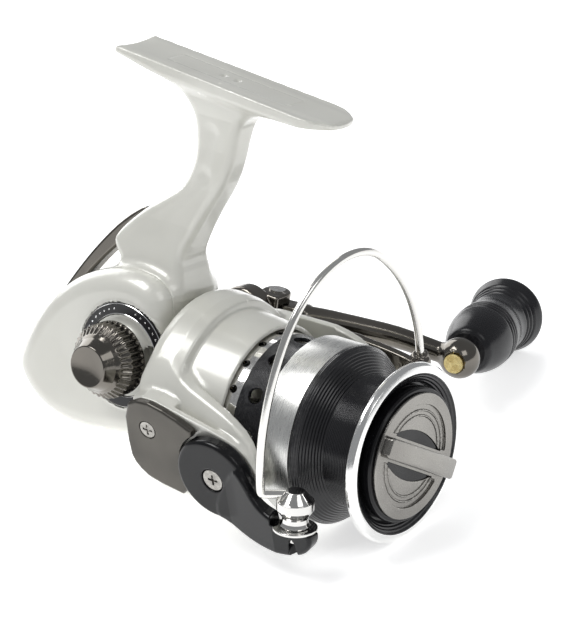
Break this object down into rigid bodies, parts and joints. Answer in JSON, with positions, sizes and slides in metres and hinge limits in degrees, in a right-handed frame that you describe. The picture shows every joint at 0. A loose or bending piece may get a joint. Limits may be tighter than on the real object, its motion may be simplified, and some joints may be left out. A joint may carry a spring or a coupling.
{
  "type": "spinning fishing reel",
  "caption": "Front-drag spinning fishing reel with a folding crank handle, bail and line roller, oscillating spool and a foot for a rod seat.",
  "frame": {"origin": "centre of the foot seat, on the plane of its two rim lands", "axes": "+X along the spool axis towards the drag knob, +Y towards the handle, +Z from the spool up to the foot"},
  "size_m": [0.1152, 0.1267, 0.1049],
  "materials": {
    "pearl_white": "pearl lacquer, gloss",
    "smoked_chrome": "smoked chrome, polished",
    "gunmetal": "satin gunmetal",
    "gloss_black": "gloss",
    "anodised_black": "black anodised, bright turned",
    "brushed_silver": "brushed",
    "polished_silver": "polished",
    "chrome": "polished",
    "satin_nickel": "satin",
    "steel": "ground",
    "wire_steel": "polished stainless",
    "brass": "machined",
    "zinc": "die cast, machined teeth",
    "black_rubber": "smooth, semi gloss",
    "badge_black": "printed badge",
    "felt": "oiled felt"
  },
  "bodies": {
    "frame": {"body_frame": "pearl_white", "side_cover": "pearl_white", "rear_guard": "smoked_chrome", "badge_ring": "badge_black", "cover_screws": "steel", "stem_screw": "chrome", "gear_bearings": "steel", "pinion_bearing": "steel", "pinion_bushing": "brass", "anti_reverse_clutch": "steel", "slider_rail": "steel"},
    "crank": {"handle_shaft": "steel", "drive_gear": "zinc", "handle_cap": "smoked_chrome", "hinge_fork": "smoked_chrome", "hinge_pin": "chrome"},
    "arm": {"handle_arm": "smoked_chrome", "knob_spindle": "brass"},
    "knob": {"handle_knob": "black_rubber", "knob_end_cap": "gloss_black"},
    "rotor": {"pinion_gear": "brass", "clutch_sleeve": "steel", "rotor": "pearl_white", "rotor_nut": "satin_nickel", "arm_cover_near": "gunmetal", "arm_cover_far": "gunmetal", "arm_cover_screws": "satin_nickel", "pivot_screws": "satin_nickel", "bail_spring": "steel"},
    "bail": {"bail_lever": "gloss_black", "bail_wire": "wire_steel", "wire_boss": "chrome", "bail_holder": "smoked_chrome", "roller_pin": "chrome"},
    "roller": {"line_roller": "chrome"},
    "oscillation": {"oscillation_gear": "zinc"},
    "shaft": {"main_shaft": "steel", "shaft_slider": "zinc", "spool_seat": "brass", "drag_discs": "steel"},
    "spool": {"spool_body": "anodised_black", "skirt_band": "brushed_silver", "skirt_ring": "chrome", "lip_ring": "polished_silver", "line_clip": "satin_nickel", "drag_felts": "felt", "drag_retainer": "steel"},
    "drag_knob": {"drag_knob_body": "gloss_black", "drag_knob_face": "satin_nickel", "drag_knob_nut": "brass", "drag_knob_spring": "steel"}
  },
  "joints": [
    {"name": "rotor_spin", "type": "hinge", "parent": "frame", "child": "rotor", "pos_m": [0.0044, 0, -0.0769], "axis": [1, 0, 0], "continuous": true},
    {"name": "handle_crank", "type": "hinge", "parent": "frame", "child": "crank", "pos_m": [-0.0181, 0, -0.0686], "axis": [0, 1, 0], "continuous": true},
    {"name": "oscillation_spin", "type": "hinge", "parent": "frame", "child": "oscillation", "pos_m": [-0.03452, -0.0073, -0.07269], "axis": [0, 1, 0], "continuous": true},
    {"name": "shaft_stroke", "type": "slide", "parent": "frame", "child": "shaft", "axis": [1, 0, 0], "range_m": [-0.0095, 0.0018]},
    {"name": "spool_slip", "type": "hinge", "parent": "shaft", "child": "spool", "pos_m": [0.0544, 0, -0.0769], "axis": [1, 0, 0], "continuous": true},
    {"name": "drag_knob_turn", "type": "hinge", "parent": "shaft", "child": "drag_knob", "pos_m": [0.0564, 0, -0.0769], "axis": [1, 0, 0], "range_deg": [-540, 540]},
    {"name": "bail_flip", "type": "hinge", "parent": "rotor", "child": "bail", "pos_m": [0.0204, 0, -0.0769], "axis": [0, 0.9455, 0.3256], "range_deg": [0, 100]},
    {"name": "roller_spin", "type": "hinge", "parent": "bail", "child": "roller", "pos_m": [0.0438, -0.02601, -0.08967], "axis": [0, -0.0872, 0.9962], "continuous": true},
    {"name": "handle_fold", "type": "hinge", "parent": "crank", "child": "arm", "pos_m": [-0.01391, 0.0395, -0.06886], "axis": [0.0628, 0, 0.998], "range_deg": [0, 75]},
    {"name": "knob_spin", "type": "hinge", "parent": "arm", "child": "knob", "pos_m": [0.0318, 0.0535, -0.07174], "axis": [-0.2918, 0.9563, 0.0184], "continuous": true}
  ],
  "couplings": [
    {"joint": "handle_crank", "follows": "rotor_spin", "ratio": -0.20408},
    {"joint": "oscillation_spin", "follows": "rotor_spin", "ratio": 0.095663}
  ]
}
